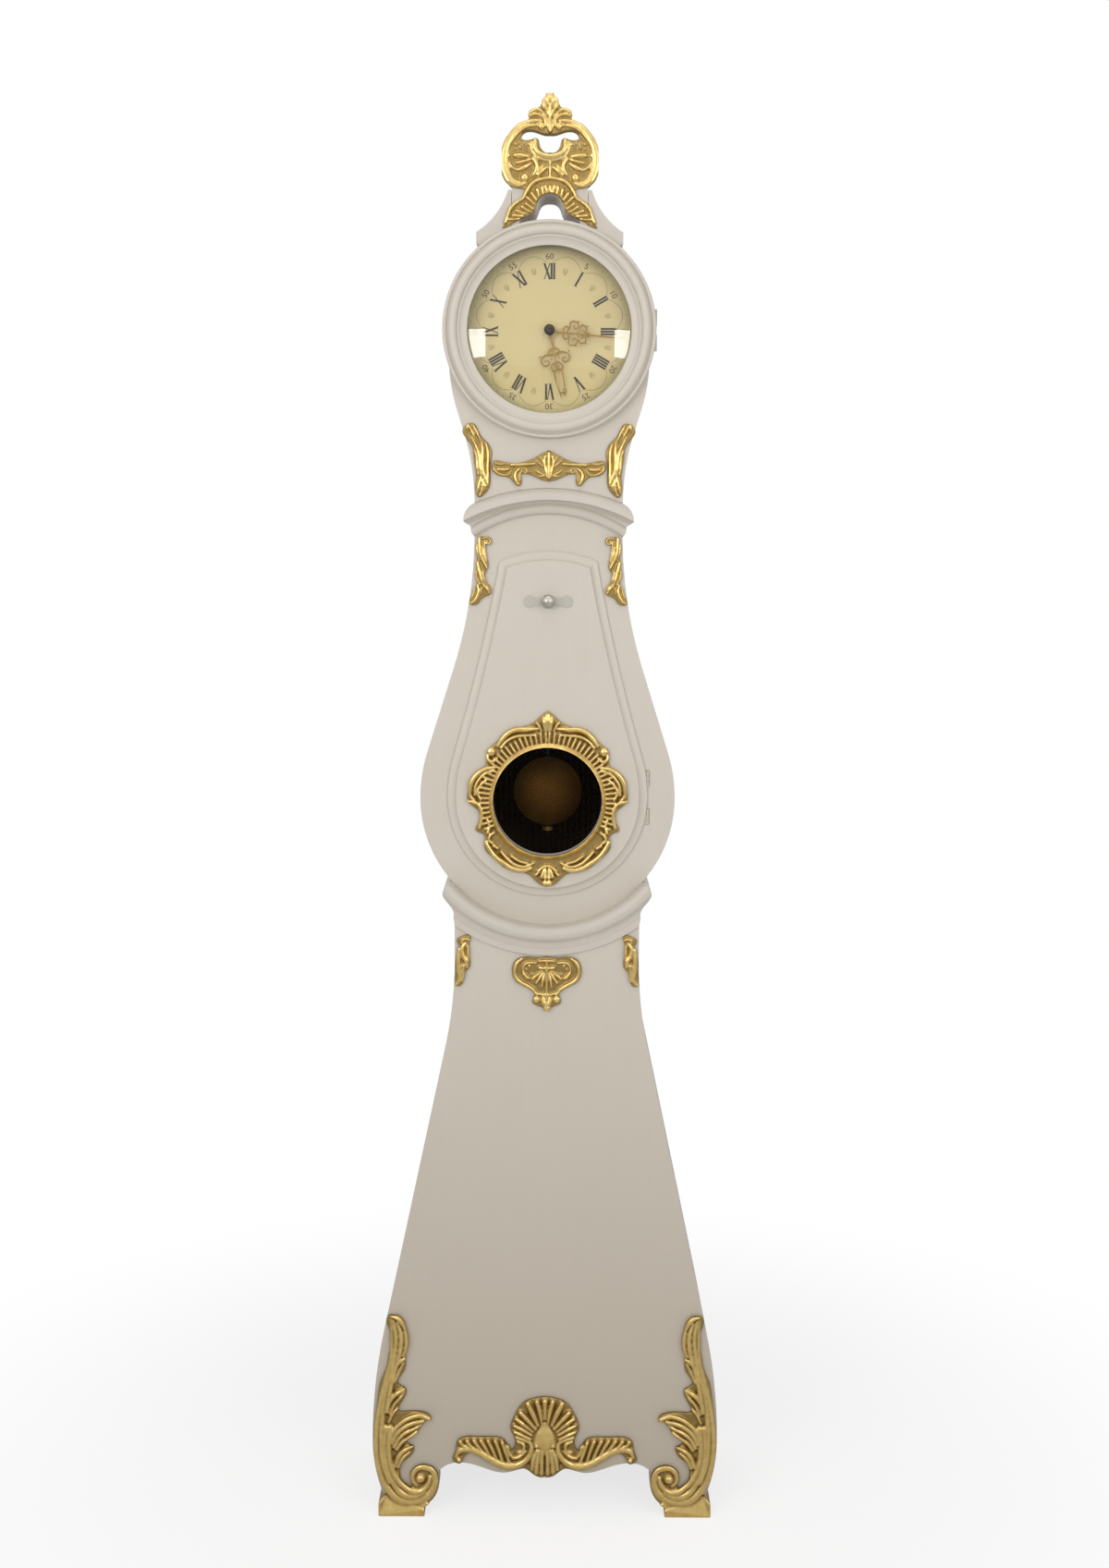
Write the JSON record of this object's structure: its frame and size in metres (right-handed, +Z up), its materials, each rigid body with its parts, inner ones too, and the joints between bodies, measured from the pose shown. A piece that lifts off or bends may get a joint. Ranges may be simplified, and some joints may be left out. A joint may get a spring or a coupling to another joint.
{
  "type": "mora clock",
  "caption": "Tall waisted longcase clock with a round hood, glazed bezel, window door, gilded carvings, pendulum and weight-driven movement.",
  "frame": {"origin": "on the floor, in the middle of the clock's width and depth", "axes": "+Z up, the dial faces -Y, +X towards the right as one faces the dial"},
  "size_m": [0.594, 0.278, 2.38],
  "materials": {
    "painted_wood": "satin grey-beige paint, lightly worn",
    "grey_moulding": "satin grey-beige paint",
    "gilded_carving": "water gilding, burnished high and dark in the hollows",
    "bare_pine": "bare, aged",
    "enamelled_dial": "glossy cream enamel with black numerals",
    "clear_glass": "clear",
    "movement_brass": "satin, slightly tarnished",
    "gilt_brass": "gilt, semi-bright",
    "painted_hinges": "painted over with the case, satin",
    "knob_plate_metal": "tarnished grey",
    "blued_steel": "blued",
    "weight_iron": "black",
    "line_cord": "twisted cord"
  },
  "bodies": {
    "case": {"base_front_board": "painted_wood", "base_side_left": "painted_wood", "base_side_right": "painted_wood", "back_board": "bare_pine", "lower_collar": "grey_moulding", "waist_front_frame": "painted_wood", "waist_side_left": "painted_wood", "waist_side_right": "painted_wood", "upper_collar": "grey_moulding", "leg_acanthus_left": "gilded_carving", "leg_acanthus_right": "gilded_carving", "apron_shell": "gilded_carving", "base_cartouche": "gilded_carving", "base_drop_left": "gilded_carving", "base_drop_right": "gilded_carving", "waist_leaf_left": "gilded_carving", "waist_leaf_right": "gilded_carving", "seatboard": "bare_pine", "movement_front_plate": "movement_brass", "movement_back_plate": "movement_brass", "dial_plate": "enamelled_dial", "back_cock": "movement_brass", "door_hinge_case_leaves": "painted_hinges", "weight_line": "line_cord"},
    "hood": {"hood_front_board": "painted_wood", "hood_shell": "painted_wood", "crest_plinth": "grey_moulding", "pediment_shoulder_left": "grey_moulding", "pediment_shoulder_right": "grey_moulding", "crest": "gilded_carving", "hood_leaf_left": "gilded_carving", "hood_leaf_right": "gilded_carving", "hood_garland": "gilded_carving", "bezel_hinge_hood_leaves": "painted_hinges"},
    "bezel_door": {"bezel_ring": "painted_wood", "bezel_glass": "clear_glass", "bezel_hinge_door_leaves": "painted_hinges"},
    "waist_door": {"waist_door": "painted_wood", "door_rosette": "gilded_carving", "door_window_glass": "clear_glass", "door_hinge_door_leaves": "painted_hinges", "knob_backplate": "knob_plate_metal"},
    "door_latch": {"door_knob": "knob_plate_metal", "latch_bar": "blued_steel"},
    "great_arbor": {"great_wheel": "movement_brass"},
    "centre_arbor": {"centre_wheel": "movement_brass", "cannon_pinion": "movement_brass", "minute_hand": "gilt_brass", "hand_nut": "gilt_brass"},
    "third_arbor": {"third_wheel": "movement_brass"},
    "escape_arbor": {"escape_wheel": "movement_brass"},
    "minute_wheel_body": {"minute_wheel": "movement_brass"},
    "hour_pipe": {"hour_wheel": "movement_brass", "hour_hand": "gilt_brass"},
    "anchor": {"anchor_and_crutch": "blued_steel"},
    "pendulum": {"pendulum_rod": "blued_steel", "pendulum_bob": "movement_brass", "rating_nut": "movement_brass"},
    "weight_body": {"weight": "weight_iron"},
    "line_ring_body": {"line_ring": "movement_brass"}
  },
  "joints": [
    {"name": "hood_slide", "type": "slide", "parent": "case", "child": "hood", "axis": [0, -1, 0], "range_m": [0, 0.2]},
    {"name": "bezel_hinge", "type": "hinge", "parent": "hood", "child": "bezel_door", "pos_m": [0.171, -0.1122, 2.0115], "axis": [0, 0, 1], "range_deg": [0, 100]},
    {"name": "waist_door_hinge", "type": "hinge", "parent": "case", "child": "waist_door", "pos_m": [0.167, -0.1002, 1.25], "axis": [0, 0, 1], "range_deg": [0, 105]},
    {"name": "latch_turn", "type": "hinge", "parent": "waist_door", "child": "door_latch", "pos_m": [0, -0.1, 1.5755], "axis": [0, 1, 0], "range_deg": [0, 90]},
    {"name": "third_spin", "type": "hinge", "parent": "case", "child": "third_arbor", "pos_m": [0.01873, 0, 2.04224], "axis": [0, 1, 0], "continuous": true},
    {"name": "centre_spin", "type": "hinge", "parent": "case", "child": "centre_arbor", "pos_m": [0, 0, 2.0115], "axis": [0, 1, 0], "continuous": true},
    {"name": "great_spin", "type": "hinge", "parent": "case", "child": "great_arbor", "pos_m": [0, 0, 1.9737], "axis": [0, 1, 0], "continuous": true},
    {"name": "escape_spin", "type": "hinge", "parent": "case", "child": "escape_arbor", "pos_m": [0, 0, 2.068], "axis": [0, 1, 0], "continuous": true},
    {"name": "minute_wheel_spin", "type": "hinge", "parent": "case", "child": "minute_wheel_body", "pos_m": [-0.01909, 0, 1.99241], "axis": [0, 1, 0], "continuous": true},
    {"name": "hour_spin", "type": "hinge", "parent": "case", "child": "hour_pipe", "pos_m": [0, 0, 2.0115], "axis": [0, 1, 0], "continuous": true},
    {"name": "pendulum_swing", "type": "hinge", "parent": "case", "child": "pendulum", "pos_m": [0, 0.028, 2.096], "axis": [0, 1, 0], "range_deg": [-3, 3]},
    {"name": "anchor_swing", "type": "hinge", "parent": "case", "child": "anchor", "pos_m": [0, 0.012, 2.096], "axis": [0, 1, 0], "range_deg": [-3, 3]},
    {"name": "weight_drop", "type": "slide", "parent": "case", "child": "weight_body", "axis": [0, 0, 1], "range_m": [-0.49, 0.26], "deforming": ["weight_line"]},
    {"name": "ring_rise", "type": "slide", "parent": "case", "child": "line_ring_body", "axis": [0, 0, 1], "range_m": [-0.26, 0.49]}
  ],
  "couplings": [
    {"joint": "centre_spin", "follows": "third_spin", "ratio": -0.125},
    {"joint": "great_spin", "follows": "third_spin", "ratio": 0.020833},
    {"joint": "escape_spin", "follows": "third_spin", "ratio": -8.1},
    {"joint": "minute_wheel_spin", "follows": "third_spin", "ratio": 0.0625},
    {"joint": "hour_spin", "follows": "third_spin", "ratio": -0.010417},
    {"joint": "anchor_swing", "follows": "pendulum_swing", "ratio": 1},
    {"joint": "ring_rise", "follows": "weight_drop", "ratio": -1}
  ]
}
